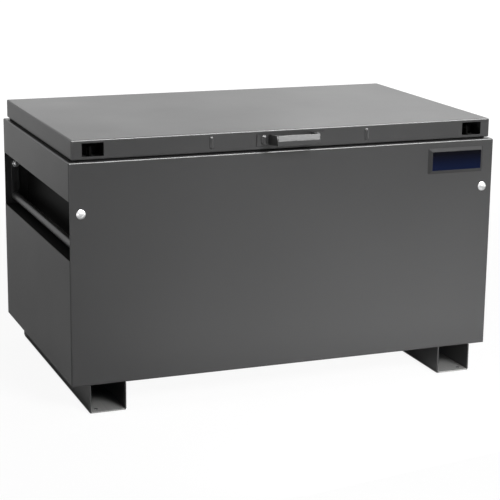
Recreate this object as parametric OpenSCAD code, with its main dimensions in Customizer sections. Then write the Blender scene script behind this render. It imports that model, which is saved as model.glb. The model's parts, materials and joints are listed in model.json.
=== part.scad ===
// Steel site chest on two channel skids: a hinged tray lid held by two gas struts, two recessed
// padlock pockets, and a swinging lift handle in a full-depth recess at each end.
// X runs along the front from left to right, Y runs from front to back, Z is up.
// The origin is on the ground at the middle of the four floor bolt holes.

/* [Chest] */
// Width of the chest along the front
chest_w = 1220; // [900:10:1600]
// Depth of the chest from front panel to back panel
chest_d = 740; // [620:10:900]
// Height of the chest from its floor sheet to its rim
chest_h = 595; // [480:5:760]
// Thickness of the folded steel sheet
sheet_t = 2; // [1.5:0.25:2.5]
// Outside radius of the sheet's bends
bend_r = 5; // [4:0.5:8]
// Length of the front and back panels' returns round the corners
return_w = 12; // [10:1:20]
// Width of the rim flange along the front
front_rim_w = 60; // [58:1:80]
// Width of the rim flange along the sides and back
side_rim_w = 40; // [30:1:48]
// Depth of the downturned lip on the rim flange
rim_lip_h = 15; // [8:1:24]
// Width of the front and back panels' bottom flanges
bottom_flange_w = 25; // [14:1:40]

/* [Skids] */
// Height of the channel skids
skid_h = 77; // [50:1:110]
// Width of each skid
skid_w = 100; // [80:1:160]
// Distance from the chest's side to the skid's outer wall
skid_inset = 48; // [10:1:120]
// Wall thickness of the skid channel
skid_t = 3.5; // [2.5:0.25:5]
// Outside radius of the skid's bends
skid_bend_r = 6; // [5.5:0.5:10]
// Diameter of the floor bolt holes
floor_hole_d = 11; // [8:0.5:16]
// Distance of each floor bolt hole from the skid's outer wall and from its end
floor_hole_inset = 22; // [16:1:36]

/* [Side recesses] */
// Distance from the rim down to the top of the recess
recess_top = 100; // [80:1:120]
// Height of the recess
recess_h = 156; // [150:1:190]
// Depth of the recess behind the chest's side
recess_depth = 70; // [66:1:90]
// Outside radius of the recess pan's bends
pan_r = 10; // [5:1:16]

/* [Lift handles] */
// Distance of the handle pivots behind the chest's side
pivot_inset = 31; // [28:1:36]
// Distance of the handle pivots below the top of the recess
pivot_drop = 34; // [30:1:42]
// Distance from the pivots to the middle of the grip bar
handle_arm_l = 98; // [80:1:102]
// Width of the handle arms
handle_arm_w = 24; // [20:1:26]
// Thickness of the handle arms
handle_arm_t = 5; // [3:0.5:8]
// Outside diameter of the grip bar
grip_d = 24; // [18:1:28]
// Wall thickness of the grip bar
grip_t = 2.5; // [1.5:0.5:4]
// Diameter of the pivot bolts
pivot_d = 12; // [8:1:14]
// Diameter of the domed heads of the pivot bolts
bolt_head_d = 25; // [20:1:30]
// Height of the domed heads
bolt_head_h = 7; // [4:0.5:9]
// Thickness of the spacers between panel and arm
spacer_t = 4; // [2:0.5:8]
// Outside diameter of the spacers
spacer_d = 22; // [18:1:28]
// Width of the pivot nuts across flats
nut_af = 19; // [17:1:24]
// Thickness of the pivot nuts
nut_t = 10; // [6:1:14]
// Length of each pivot bolt past its nut
bolt_past = 2; // [1:0.5:5]

/* [Lid] */
// Height of the lid's folded tray
lid_h = 52; // [48:1:70]
// Gap between the chest's rim and the lid, which the seal fills
lid_gap = 4; // [4:0.5:10]
// Inset of the lid from the chest's sides
lid_side_inset = 10; // [4:1:14]
// Inset of the lid from the front panel
lid_front_inset = 10; // [4:1:14]
// Width of the lid's return flange
lid_flange_w = 18; // [16:1:20]
// Width of the rubber seal
seal_w = 12; // [8:1:14]
// Inset of the seal from the lid's outside
seal_inset = 3; // [2:0.5:4]
// Distance of the lid stiffeners from the middle
stiffener_x = 223; // [150:1:300]
// Width of the stiffeners' hat section
stiffener_w = 50; // [30:1:70]
// Depth of the stiffeners' hat section
stiffener_h = 20; // [12:1:24]
// Width of each brim of the hat section
brim_w = 15; // [10:1:20]
// Thickness of the stiffeners' sheet
stiffener_t = 1.5; // [1:0.25:2]
// Length of the raised beads on the lid's front
bead_h = 35; // [20:1:38]
// Radius of the raised beads
bead_r = 7; // [5:0.5:9]
// Height that the raised beads stand out
bead_out = 4; // [2:0.5:5]

/* [Padlock pockets] */
// Distance from the lid's side to the pocket window
window_inset = 28; // [20:1:60]
// Width of the pocket window
window_w = 58; // [44:1:80]
// Height of the pocket window
window_h = 35; // [30:1:36]
// Depth of the pocket behind the lid's front
pocket_depth = 60; // [56:1:80]
// Space between the window's side and the pocket's wall
pocket_side = 4; // [2:1:10]
// Thickness of the staple
staple_t = 6; // [4:1:8]
// Width of the staple from front to back
staple_w = 24; // [22:1:26]
// Distance of the staple's front edge behind the chest's front
staple_y = 34; // [33:1:35]
// Height of the staple's hole above the rim
staple_hole_z = 27; // [26:0.5:29]
// Diameter of the staple's hole
staple_hole_d = 13; // [8:0.5:14]
// Length of the staple's foot
foot_l = 38; // [30:1:50]
// Thickness of the staple's foot
foot_t = 3.5; // [2.5:0.25:4]
// Clearance of the floor slot round the staple
slot_clear = 4; // [2:0.5:4]

/* [Lid handle] */
// Width of the grip between its arms
lid_grip_w = 117; // [90:1:160]
// Distance that the grip stands out from the lid
lid_grip_out = 61; // [45:1:75]
// Depth of the grip's sloping face
lid_grip_slope = 6; // [4:1:16]
// Height of the grip's sloping face
lid_grip_rise = 13; // [10:1:16]
// Height of the grip's front face
lid_grip_front = 10; // [8:1:14]
// Length of the fold under the grip
lid_grip_fold = 14; // [6:1:20]
// Thickness of the grip plate
lid_grip_t = 4; // [3:0.5:5]
// Height of the arms and flanges where they meet the lid
lid_arm_h = 30; // [26:1:36]
// Height that the grip's lower edge stands above the arms' lower edge
lid_grip_lift = 7; // [0:1:8]
// Thickness of the handle's arms and flanges
lid_arm_t = 3; // [2:0.5:5]
// Width of each flange on the lid
lid_arm_flange = 35; // [30:1:45]
// Distance of each flange's bead from the arm
flange_bead_x = 15; // [12:1:17]
// Radius of the beads on the flanges
flange_bead_r = 10; // [8:0.5:12]
// Height that the flanges' beads stand out
flange_bead_out = 6; // [3:0.5:8]

/* [Hinge] */
// Length of the full-width hinge
hinge_l = 1180; // [800:10:1180]
// Number of knuckles, an odd number
knuckles = 21; // [11:2:25]
// Outside diameter of the knuckles
knuckle_d = 10; // [9:0.5:11]
// Diameter of the hinge pin
hinge_pin_d = 5; // [4:0.5:6]
// Thickness of the hinge leaves
leaf_t = 2; // [1.5:0.25:2.5]
// Height of each hinge leaf
leaf_h = 36; // [24:1:42]
// Gap between the knuckles and the rim
knuckle_lift = 0.5; // [0.5:0.1:1]
// Gap between each leaf and the other leaf's knuckles
knuckle_clear = 0.6; // [0.4:0.1:0.8]

/* [Gas struts] */
// Distance of the struts inside the recess pan's wall
strut_inset = 18; // [16:1:24]
// Distance of the lid's strut pivot in front of the hinge pin
lid_pivot_y = 320; // [280:5:360]
// Height of the lid's strut pivot above the hinge pin
lid_pivot_z = 15; // [10:1:20]
// Distance of the chest's strut pivot in front of the hinge pin
chest_pivot_y = 65; // [60:1:80]
// Distance of the chest's strut pivot below the hinge pin
chest_pivot_z = 130; // [125:1:150]
// Outside diameter of the strut's cylinder
strut_d = 18; // [16:1:20]
// Wall thickness of the strut's cylinder
strut_wall = 1.5; // [1:0.25:2]
// Diameter of the strut's rod
rod_d = 8; // [6:1:10]
// Length of the strut's cylinder
cylinder_l = 225; // [215:1:230]
// Distance of the piston from the cylinder's closed end, with the lid shut
piston_start = 40; // [20:1:45]
// Thickness of the piston and of the cylinder's two ends
piston_t = 8; // [5:1:10]
// Length of the shank between each eye and the cylinder or rod
shank_l = 15; // [12:1:18]
// Diameter of the shanks
shank_d = 12; // [11:1:14]
// Diameter of the strut pivots
strut_pin_d = 8; // [6:1:9]
// Diameter of the collars beside the eyes
collar_d = 12; // [11:1:13]
// Diameter of the eyes on the strut's ends
eye_d = 18; // [18:1:20]
// Length of each shank that is sunk in its eye
shank_sunk = 2; // [1:0.5:2]
// Thickness of the eyes
eye_t = 10; // [8:1:12]
// Thickness of the strut brackets
bracket_t = 3; // [2:0.5:4]
// Width of the strut brackets
bracket_w = 50; // [40:1:60]

/* [Badge] */
// Width of the raised badge panel
badge_w = 170; // [100:1:220]
// Height of the badge panel
badge_h = 72; // [50:1:90]
// Distance from the badge panel to the chest's right side
badge_side = 33; // [20:1:80]
// Distance from the badge panel to the rim
badge_drop = 18; // [15:1:60]
// Height that the badge panel stands out
badge_out = 9; // [2:0.5:12]
// Width of its sloping border
badge_slope = 9; // [4:1:14]
// Depth that the badge's face is let in
badge_relief = 0.7; // [0.3:0.1:1.5]
// Width of the edge left round the face
badge_edge = 1; // [1:0.5:4]

/* [Clearances] */
// Gap between pieces that move past each other
gap = 0.3; // [0.3:0.05:0.5]
// Radial clearance of a pin in its bore
pin_clear = 0.05; // [0.03:0.01:0.08]
// Radial clearance of a bolt in its hole
hole_clear = 0.2; // [0.1:0.05:0.4]

/* [Hidden] */
$fn = 48;
// Overlap that carries a cut past the surface it starts from
over = 1;
// Places of the chest's faces
left_x = -chest_w / 2;
right_x = chest_w / 2;
front_y = -chest_d / 2;
back_y = chest_d / 2;
rim_z = skid_h + chest_h;
recess_roof_z = rim_z - recess_top;
recess_floor_z = recess_roof_z - recess_h;
pan_wall_x = chest_w / 2 - recess_depth;
floor_hole_x = chest_w / 2 - skid_inset - floor_hole_inset;
floor_hole_y = chest_d / 2 - floor_hole_inset;
// Hinge line: the barrel ends at the outside of the chest's leaf
hinge_y = back_y + leaf_t - knuckle_d / 2;
hinge_z = rim_z + knuckle_d / 2 + knuckle_lift;
// The lid's back lies against the lid's leaf
lid_front_y = front_y + lid_front_inset;
lid_back_y = hinge_y - knuckle_d / 2;
lid_d = lid_back_y - lid_front_y;
lid_w = chest_w - 2 * lid_side_inset;
lid_mid_y = (lid_front_y + lid_back_y) / 2;
lid_z = rim_z + lid_gap;
lid_under_z = lid_z + lid_h - sheet_t;
// Padlock pockets and their windows
window_x = lid_w / 2 - window_inset - window_w / 2;
window_z = lid_z + (lid_h - window_h) / 2;
pocket_w = window_w + 2 * pocket_side + 2 * sheet_t;
pocket_floor_z = lid_z + sheet_t;
// Lift handles
pivot_x = chest_w / 2 - pivot_inset;
pivot_z = recess_roof_z - pivot_drop;
grip_z = pivot_z - handle_arm_l;
arm_outer_y = sheet_t + spacer_t + gap;
arm_inner_y = arm_outer_y + handle_arm_t;
nut_y = arm_inner_y + gap;
// Gas struts, seen from the side: y forward of the hinge pin, z above it
strut_x = pan_wall_x - sheet_t - strut_inset;
strut_rise = lid_pivot_z + chest_pivot_z;
strut_run = lid_pivot_y - chest_pivot_y;
strut_l = sqrt(strut_run * strut_run + strut_rise * strut_rise);
strut_tilt = atan2(strut_rise, strut_run);
knuckle_pitch = hinge_l / knuckles;
steel = "#4a4b4c";
dark_steel = "#3f4041";
zinc = "#c9cacb";
rubber = "#141414";

// ---- Shapes that several pieces share ----

// A rectangle with round corners, centred
module round_rect(w, d, r) {
    square([w - 2 * r, d], center = true);
    square([w, d - 2 * r], center = true);
    for (x = [-1, 1], y = [-1, 1])
        translate([x * (w / 2 - r), y * (d / 2 - r)]) circle(r);
}

// A block whose twelve edges are all rounded, standing on z = 0
module round_block(w, d, h, r) {
    intersection() {
        linear_extrude(h) round_rect(w, d, r);
        translate([0, d / 2, h / 2]) rotate([90, 0, 0]) linear_extrude(d) round_rect(w, h, r);
        translate([-w / 2, 0, h / 2]) rotate([90, 0, 90]) linear_extrude(w) round_rect(d, h, r);
    }
}

// A closed box of folded sheet
module sheet_box(w, d, h) {
    difference() {
        round_block(w, d, h, bend_r);
        translate([0, 0, sheet_t])
            round_block(w - 2 * sheet_t, d - 2 * sheet_t, h - 2 * sheet_t, bend_r - sheet_t);
    }
}

// A block given by its lowest and highest corners
module span(low, high) {
    translate(low) cube(high - low);
}

// A round bar along Y or X from a start point
module bar_y(x, y, z, l, d) {
    translate([x, y, z]) rotate([-90, 0, 0]) cylinder(h = l, d = d);
}
module bar_x(x, y, z, l, d) {
    translate([x, y, z]) rotate([0, 90, 0]) cylinder(h = l, d = d);
}

// The same piece on the left and, mirrored, on the right
module at_side(side) {
    mirror([side == "left" ? 0 : 1, 0, 0]) children();
}

// ---- The folded chest ----

// The whole chest as one folded box, which the panels are parted from
module chest_box() {
    translate([0, 0, skid_h]) sheet_box(chest_w, chest_d, chest_h);
}

// The front or back panel, drawn as the front one: face, corner returns, rim flange and lip
module face_panel(rim_w) {
    difference() {
        union() {
            intersection() {
                chest_box();
                union() {
                    span([left_x, front_y, skid_h], [right_x, front_y + return_w, rim_z]);
                    span([left_x + bend_r, front_y, rim_z - sheet_t],
                         [right_x - bend_r, front_y + rim_w, rim_z]);
                    span([left_x + bend_r, front_y, skid_h],
                         [right_x - bend_r, front_y + bottom_flange_w, skid_h + sheet_t]);
                }
            }
            span([left_x + side_rim_w, front_y + rim_w - sheet_t, rim_z - rim_lip_h],
                 [right_x - side_rim_w, front_y + rim_w, rim_z]);
        }
        for (side = [-1, 1]) {
            // The corner returns stop above and below the recess
            translate([side * chest_w / 2 - bend_r, front_y + sheet_t, recess_floor_z])
                cube([2 * bend_r, return_w, recess_h]);
            bar_y(side * pivot_x, front_y - over, pivot_z, sheet_t + 2 * over,
                  pivot_d + 2 * hole_clear);
        }
    }
}

module front_panel() {
    color(steel) face_panel(front_rim_w);
}

module back_panel() {
    color(steel) mirror([0, 1, 0]) face_panel(side_rim_w);
}

module floor_panel() {
    color(steel) intersection() {
        chest_box();
        span([left_x + bend_r, front_y + bottom_flange_w, skid_h],
             [right_x - bend_r, back_y - bottom_flange_w, skid_h + sheet_t]);
    }
}

// The strip of side above the recess, with its rim flange and lip
module upper_side(side) {
    color(steel) at_side(side) {
        intersection() {
            chest_box();
            union() {
                span([left_x, front_y + return_w, recess_roof_z],
                     [left_x + bend_r, back_y - return_w, rim_z]);
                span([left_x, front_y + front_rim_w, rim_z - sheet_t],
                     [left_x + side_rim_w, back_y - side_rim_w, rim_z]);
            }
        }
        span([left_x + side_rim_w - sheet_t, front_y + front_rim_w, rim_z - rim_lip_h],
             [left_x + side_rim_w, back_y - side_rim_w, rim_z]);
    }
}

module lower_side(side) {
    color(steel) at_side(side) intersection() {
        chest_box();
        span([left_x, front_y + return_w, skid_h], [left_x + bend_r, back_y - return_w,
              recess_floor_z]);
    }
}

// The pan behind the recess: a folded channel with its open side outwards
module recess_pan(side) {
    pan_h = recess_h + 2 * sheet_t;
    color(dark_steel) at_side(side) intersection() {
        translate([0, back_y - sheet_t, (recess_roof_z + recess_floor_z) / 2])
            rotate([90, 0, 0]) linear_extrude(chest_d - 2 * sheet_t) intersection() {
                translate([left_x, 0]) difference() {
                    round_rect(2 * (recess_depth + sheet_t), pan_h, pan_r);
                    round_rect(2 * recess_depth, recess_h, pan_r - sheet_t);
                }
                translate([left_x + sheet_t, -pan_h / 2]) square([recess_depth, pan_h]);
            }
        // The pan's corners are cut back to clear the bends of the front and back panels
        linear_extrude(rim_z) round_rect(chest_w - 2 * sheet_t, chest_d - 2 * sheet_t, bend_r);
    }
}

// ---- Skids ----

// A channel open at both ends, closed above by the chest's floor
module skid(side) {
    mid_x = left_x + skid_inset + skid_w / 2;
    color(steel) at_side(side) difference() {
        translate([mid_x, back_y, skid_h]) rotate([90, 0, 0]) linear_extrude(chest_d)
            difference() {
                intersection() {
                    round_rect(skid_w, 2 * skid_h, skid_bend_r);
                    translate([-skid_w / 2, -skid_h]) square([skid_w, skid_h]);
                }
                round_rect(skid_w - 2 * skid_t, 2 * (skid_h - skid_t), skid_bend_r - skid_t);
            }
        for (end = [-1, 1])
            translate([-floor_hole_x, end * floor_hole_y, -over])
                cylinder(h = skid_t + 2 * over, d = floor_hole_d);
    }
}

// ---- Lift handles ----

module grip_bar(side) {
    bar_l = chest_d - 2 * arm_inner_y;
    color(steel) at_side(side) difference() {
        bar_y(-pivot_x, -bar_l / 2, grip_z, bar_l, grip_d);
        bar_y(-pivot_x, -bar_l / 2 - over, grip_z, bar_l + 2 * over, grip_d - 2 * grip_t);
    }
}

// Flat arms with round ends, one at each end of the grip bar
module handle_arms(side) {
    color(steel) at_side(side) for (end = [0, 1]) mirror([0, end, 0])
        translate([-pivot_x, front_y + arm_inner_y, pivot_z])
            rotate([90, 0, 0]) linear_extrude(handle_arm_t) difference() {
                union() {
                    circle(d = handle_arm_w);
                    translate([-handle_arm_w / 2, -handle_arm_l])
                        square([handle_arm_w, handle_arm_l]);
                    translate([0, -handle_arm_l]) circle(d = handle_arm_w);
                }
                circle(d = pivot_d + 2 * pin_clear);
            }
}

// Places its children at the four pivots, with +Z pointing into the chest from the panel's face
module at_pivots() {
    for (side = [-1, 1], end = [0, 1]) mirror([0, end, 0])
        translate([side * pivot_x, front_y, pivot_z]) rotate([-90, 0, 0]) children();
}

module pivot_bolts() {
    // The dome is the cap of a sphere through the head's rim
    dome_r = (bolt_head_d * bolt_head_d / 4 + bolt_head_h * bolt_head_h) / (2 * bolt_head_h);
    color(zinc) at_pivots() {
        intersection() {
            translate([0, 0, dome_r - bolt_head_h]) sphere(dome_r);
            translate([0, 0, -bolt_head_h]) cylinder(h = bolt_head_h, d = bolt_head_d);
        }
        cylinder(h = nut_y + nut_t + bolt_past, d = pivot_d);
    }
}

module pivot_spacers() {
    color(rubber) at_pivots() translate([0, 0, sheet_t]) difference() {
        cylinder(h = spacer_t, d = spacer_d);
        translate([0, 0, -over]) cylinder(h = spacer_t + 2 * over, d = pivot_d + 2 * hole_clear);
    }
}

module pivot_nuts() {
    color(zinc) at_pivots() translate([0, 0, nut_y]) difference() {
        cylinder(h = nut_t, r = nut_af / 2 / cos(30), $fn = 6);
        translate([0, 0, -over]) cylinder(h = nut_t + 2 * over, d = pivot_d + 2 * pin_clear);
    }
}

// ---- Lid ----

module lid_shell() {
    color(steel) difference() {
        union() {
            translate([0, lid_mid_y, lid_z]) sheet_box(lid_w, lid_d, lid_h);
            for (side = [-1, 1])
                bead(side * stiffener_x, lid_front_y, lid_z + lid_h / 2, bead_h, bead_r, bead_out);
        }
        // The tray is open below, inside its return flange
        span([-lid_w / 2 + lid_flange_w, lid_front_y + lid_flange_w, lid_z - over],
             [lid_w / 2 - lid_flange_w, lid_back_y - lid_flange_w, lid_z + sheet_t + over]);
        for (side = [-1, 1])
            translate([side * window_x - window_w / 2, lid_front_y - over, window_z])
                cube([window_w, sheet_t + 2 * over, window_h]);
    }
}

// A raised bead with round ends on an upright face at y, centred on the height z
module bead(x, y, z, h, r, out) {
    intersection() {
        translate([x, y + r - out, z]) {
            cylinder(h = h - 2 * r, r = r, center = true);
            for (end = [-1, 1]) translate([0, 0, end * (h / 2 - r)]) sphere(r);
        }
        span([x - r, y - out, z - h / 2], [x + r, y + sheet_t / 2, z + h / 2]);
    }
}

// Four strips that meet at the corners of the rim
module lid_seal() {
    out_x = lid_w / 2 - seal_inset;
    out_front = lid_front_y + seal_inset;
    out_back = lid_back_y - seal_inset;
    top = lid_z - gap;
    color(rubber) {
        span([-out_x, out_front, rim_z], [out_x, out_front + seal_w, top]);
        span([-out_x, out_back - seal_w, rim_z], [out_x, out_back, top]);
        for (side = [0, 1]) mirror([side, 0, 0])
            span([-out_x, out_front + seal_w + gap, rim_z],
                 [-out_x + seal_w, out_back - seal_w - gap, top]);
    }
}

// A hat section under the lid's top, from front to back
module stiffener(side) {
    hat_l = lid_d - 2 * lid_flange_w;
    color(steel) at_side(side)
        translate([-stiffener_x, lid_mid_y + hat_l / 2, lid_under_z])
            rotate([90, 0, 0]) linear_extrude(hat_l) difference() {
                union() {
                    translate([-stiffener_w / 2, -stiffener_h])
                        square([stiffener_w, stiffener_h]);
                    translate([-stiffener_w / 2 - brim_w, -stiffener_t])
                        square([stiffener_w + 2 * brim_w, stiffener_t]);
                }
                translate([-stiffener_w / 2 + stiffener_t, -stiffener_h + stiffener_t])
                    square([stiffener_w - 2 * stiffener_t, stiffener_h]);
            }
}

// The box behind a window, with a slot in its floor for the staple
module lock_pocket(side) {
    low_y = lid_front_y + sheet_t;
    pocket_h = lid_under_z - pocket_floor_z;
    color(dark_steel) at_side(side) translate([-window_x, 0, 0]) difference() {
        // The front edges are rounded to clear the lid's bends
        translate([-pocket_w / 2, low_y, pocket_floor_z]) rotate([90, 0, 90])
            linear_extrude(pocket_w) intersection() {
                square([pocket_depth, pocket_h]);
                translate([pocket_depth, pocket_h / 2])
                    round_rect(2 * pocket_depth, pocket_h, bend_r);
            }
        span([-pocket_w / 2 + sheet_t, low_y - over, pocket_floor_z + sheet_t],
             [pocket_w / 2 - sheet_t, low_y + pocket_depth - sheet_t, lid_under_z + over]);
        span([-staple_t / 2 - slot_clear, front_y + staple_y - slot_clear, pocket_floor_z - over],
             [staple_t / 2 + slot_clear, front_y + staple_y + staple_w + slot_clear,
              pocket_floor_z + sheet_t + over]);
    }
}

// The staple stands on the rim flange and comes up through the pocket's floor
module lock_staple(side) {
    eye_r = staple_w / 2;
    color(zinc) at_side(side) translate([-window_x, front_y + staple_y + eye_r, rim_z]) {
        span([-foot_l / 2, -eye_r, 0], [foot_l / 2, eye_r, foot_t]);
        translate([-staple_t / 2, 0, 0]) rotate([90, 0, 90]) linear_extrude(staple_t)
            difference() {
                union() {
                    translate([-eye_r, 0]) square([2 * eye_r, staple_hole_z]);
                    translate([0, staple_hole_z]) circle(eye_r);
                }
                translate([0, staple_hole_z]) circle(d = staple_hole_d);
            }
    }
}

// ---- Lid handle ----

// A plate of even thickness bent through the given points, with round edges
module bent_plate(points, t) {
    for (p = points) translate(p) circle(d = t);
    for (i = [1 : len(points) - 1]) {
        run = points[i] - points[i - 1];
        translate(points[i - 1]) rotate(atan2(run[1], run[0]))
            translate([0, -t / 2]) square([norm(run), t]);
    }
}

// Drawn outwards from the lid's front and upwards from the arms' lower edge
module lid_handle() {
    out = lid_grip_out - lid_grip_t / 2;
    low = lid_grip_lift + lid_grip_t / 2;
    shoulder = low + lid_grip_front;
    top = shoulder + lid_grip_rise;
    handle_z = lid_z + (lid_h - lid_arm_h) / 2;
    arm_x = lid_grip_w / 2;
    color(steel) {
        translate([arm_x, lid_front_y, handle_z]) rotate([90, 0, -90]) linear_extrude(lid_grip_w)
            bent_plate([[out - lid_grip_fold, low], [out, low], [out, shoulder],
                        [out - lid_grip_slope, top]], lid_grip_t);
        for (side = [0, 1]) mirror([side, 0, 0]) {
            translate([arm_x + lid_arm_t, lid_front_y, handle_z])
                rotate([90, 0, -90]) linear_extrude(lid_arm_t)
                    polygon([[0, 0], [out - lid_grip_fold, lid_grip_lift],
                             [lid_grip_out, lid_grip_lift], [lid_grip_out, shoulder],
                             [out - lid_grip_slope, top + lid_grip_t / 2], [0, lid_arm_h]]);
            difference() {
                union() {
                    translate([arm_x + lid_arm_t, lid_front_y - lid_arm_t, handle_z])
                        cube([lid_arm_flange, lid_arm_t, lid_arm_h]);
                    bead(arm_x + lid_arm_t + flange_bead_x, lid_front_y - lid_arm_t,
                         handle_z + lid_arm_h / 2, lid_arm_h, flange_bead_r, flange_bead_out);
                }
                // Nothing of the bead reaches behind the lid's face
                span([arm_x, lid_front_y, handle_z - over],
                     [arm_x + lid_arm_t + lid_arm_flange, lid_front_y + bead_r,
                      handle_z + lid_arm_h + over]);
            }
        }
    }
}

// ---- Hinge ----

// One leaf's barrel: every other knuckle, starting with number first
module knuckle_row(first, d, slack) {
    for (i = [first : 2 : knuckles - 1])
        bar_x(-hinge_l / 2 + i * knuckle_pitch - slack, hinge_y, hinge_z,
              knuckle_pitch - gap + 2 * slack, d);
}

module hinge_leaf(first, low_y, low_z) {
    color(steel) difference() {
        union() {
            difference() {
                span([-hinge_l / 2, low_y, low_z], [hinge_l / 2 - gap, low_y + leaf_t,
                      low_z + leaf_h]);
                knuckle_row(1 - first, knuckle_d + 2 * knuckle_clear, gap / 2);
            }
            knuckle_row(first, knuckle_d, 0);
        }
        bar_x(-hinge_l / 2 - over, hinge_y, hinge_z, hinge_l + 2 * over,
              hinge_pin_d + 2 * pin_clear);
    }
}

module hinge_chest_leaf() {
    hinge_leaf(0, back_y, hinge_z - leaf_h);
}

module hinge_lid_leaf() {
    hinge_leaf(1, lid_back_y, hinge_z);
}

module hinge_pin() {
    color(zinc) bar_x(-hinge_l / 2, hinge_y, hinge_z, hinge_l - gap, hinge_pin_d);
}

// ---- Gas struts ----

// A bracket on the recess pan, with the pin that the cylinder turns on
module strut_foot(side) {
    pin_y = hinge_y - chest_pivot_y;
    pin_z = hinge_z - chest_pivot_z;
    plate_x = -pan_wall_x + sheet_t;
    pin_l = strut_inset - bracket_t + eye_t / 2 + gap;
    color(zinc) at_side(side) {
        span([plate_x, pin_y - bracket_w / 2, pin_z - eye_d],
             [plate_x + bracket_t, pin_y + bracket_w / 2, pin_z + eye_d / 2]);
        bar_x(plate_x + bracket_t, pin_y, pin_z, pin_l, strut_pin_d);
        bar_x(plate_x + bracket_t + pin_l, pin_y, pin_z, bracket_t, collar_d);
        bar_x(plate_x + bracket_t, pin_y, pin_z, strut_inset - bracket_t - eye_t / 2 - gap,
              collar_d);
    }
}

// A bracket under the lid's top, with a stub that ends beside the rod's eye
module strut_hanger(side) {
    pin_y = hinge_y - lid_pivot_y;
    pin_z = hinge_z + lid_pivot_z;
    plate_x = -strut_x - strut_inset;
    stub_l = strut_inset - bracket_t - eye_t / 2 - gap;
    color(zinc) at_side(side) {
        span([plate_x, pin_y - bracket_w / 2, pin_z - eye_d / 2],
             [plate_x + bracket_t, pin_y + bracket_w / 2, lid_under_z]);
        span([plate_x - eye_d, pin_y - bracket_w / 2, lid_under_z - bracket_t],
             [plate_x, pin_y + bracket_w / 2, lid_under_z]);
        bar_x(plate_x + bracket_t, pin_y, pin_z, stub_l, collar_d);
    }
}

// Draws along +X of its own frame: from the chest's pivot up to the lid's pivot
module along_strut(side) {
    at_side(side) translate([-strut_x, hinge_y - chest_pivot_y, hinge_z - chest_pivot_z])
        rotate([0, 0, -90]) rotate([0, -strut_tilt, 0]) children();
}

// An end fitting: an eye across the strut at the origin, and its shank along +X
module end_fitting() {
    bore = strut_pin_d + 2 * pin_clear;
    difference() {
        union() {
            bar_y(0, -eye_t / 2, 0, eye_t, eye_d);
            bar_x(eye_d / 2 - shank_sunk, 0, 0, shank_sunk + shank_l, shank_d);
        }
        bar_y(0, -eye_t / 2 - over, 0, eye_t + 2 * over, bore);
    }
}

// The cylinder turns on the chest's pivot
module strut_cylinder(side) {
    start = eye_d / 2 + shank_l;
    color(rubber) along_strut(side) {
        end_fitting();
        difference() {
            bar_x(start, 0, 0, cylinder_l, strut_d);
            bar_x(start + piston_t, 0, 0, cylinder_l - 2 * piston_t, strut_d - 2 * strut_wall);
            bar_x(start + piston_t, 0, 0, cylinder_l, rod_d + 2 * pin_clear);
        }
    }
}

// The rod slides in the cylinder, with its piston inside
module strut_rod(side) {
    piston_x = eye_d / 2 + shank_l + piston_start;
    color(zinc) along_strut(side) {
        bar_x(piston_x, 0, 0, strut_l - eye_d / 2 - shank_l - piston_x, rod_d);
        bar_x(piston_x, 0, 0, piston_t, strut_d - 2 * strut_wall - 2 * pin_clear);
        translate([strut_l, 0, 0]) mirror([1, 0, 0]) end_fitting();
    }
}

// ---- Badge ----

// One cross-section of the badge panel: flat against the chest, with sloping ends
module sloped_section(l) {
    polygon([[0, 0], [badge_slope, -badge_out], [l - badge_slope, -badge_out], [l, 0]]);
}

// A raised panel with four sloping sides and a plain face let into it
module badge_plate() {
    low_x = right_x - badge_side - badge_w;
    low_z = rim_z - badge_drop - badge_h;
    inset = badge_slope + badge_edge;
    color("#20242c") difference() {
        intersection() {
            translate([low_x, front_y, low_z]) linear_extrude(badge_h) sloped_section(badge_w);
            translate([low_x + badge_w, front_y, low_z]) rotate([0, -90, 0])
                linear_extrude(badge_w) sloped_section(badge_h);
        }
        span([low_x + inset, front_y - badge_out - over, low_z + inset],
             [low_x + badge_w - inset, front_y - badge_out + badge_relief,
              low_z + badge_h - inset]);
    }
}

front_panel();
back_panel();
floor_panel();
upper_side("left");  // left_upper_side
upper_side("right");  // right_upper_side
lower_side("left");  // left_lower_side
lower_side("right");  // right_lower_side
recess_pan("left");  // left_recess_pan
recess_pan("right");  // right_recess_pan
skid("left");  // left_skid
skid("right");  // right_skid
lid_seal();
lock_staple("left");  // left_lock_staple
lock_staple("right");  // right_lock_staple
badge_plate();
pivot_bolts();
pivot_spacers();
pivot_nuts();
hinge_chest_leaf();
hinge_pin();
strut_foot("left");  // left_strut_foot
strut_foot("right");  // right_strut_foot
grip_bar("left");  // left_handle_grip
handle_arms("left");  // left_handle_arms
grip_bar("right");  // right_handle_grip
handle_arms("right");  // right_handle_arms
lid_shell();
stiffener("left");  // left_stiffener
stiffener("right");  // right_stiffener
lock_pocket("left");  // left_lock_pocket
lock_pocket("right");  // right_lock_pocket
lid_handle();
hinge_lid_leaf();
strut_hanger("left");  // left_strut_hanger
strut_hanger("right");  // right_strut_hanger
strut_cylinder("left");  // left_strut_cylinder
strut_cylinder("right");  // right_strut_cylinder
strut_rod("left");  // left_strut_rod
strut_rod("right");  // right_strut_rod
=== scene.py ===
# %% [markdown]
# # A steel site chest
#
# The chest is folded from sheet steel and powder coated. A frame of plain solids, made to real
# sizes in metres, is loaded first. Each later cell dresses one part of it: a finish on a solid
# whose shape is already right, or a finer piece that stands for a plain one.

# %% Load the frame
import json
import math
import bmesh
import bpy
import numpy as np
from mathutils import Matrix, Vector


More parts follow.
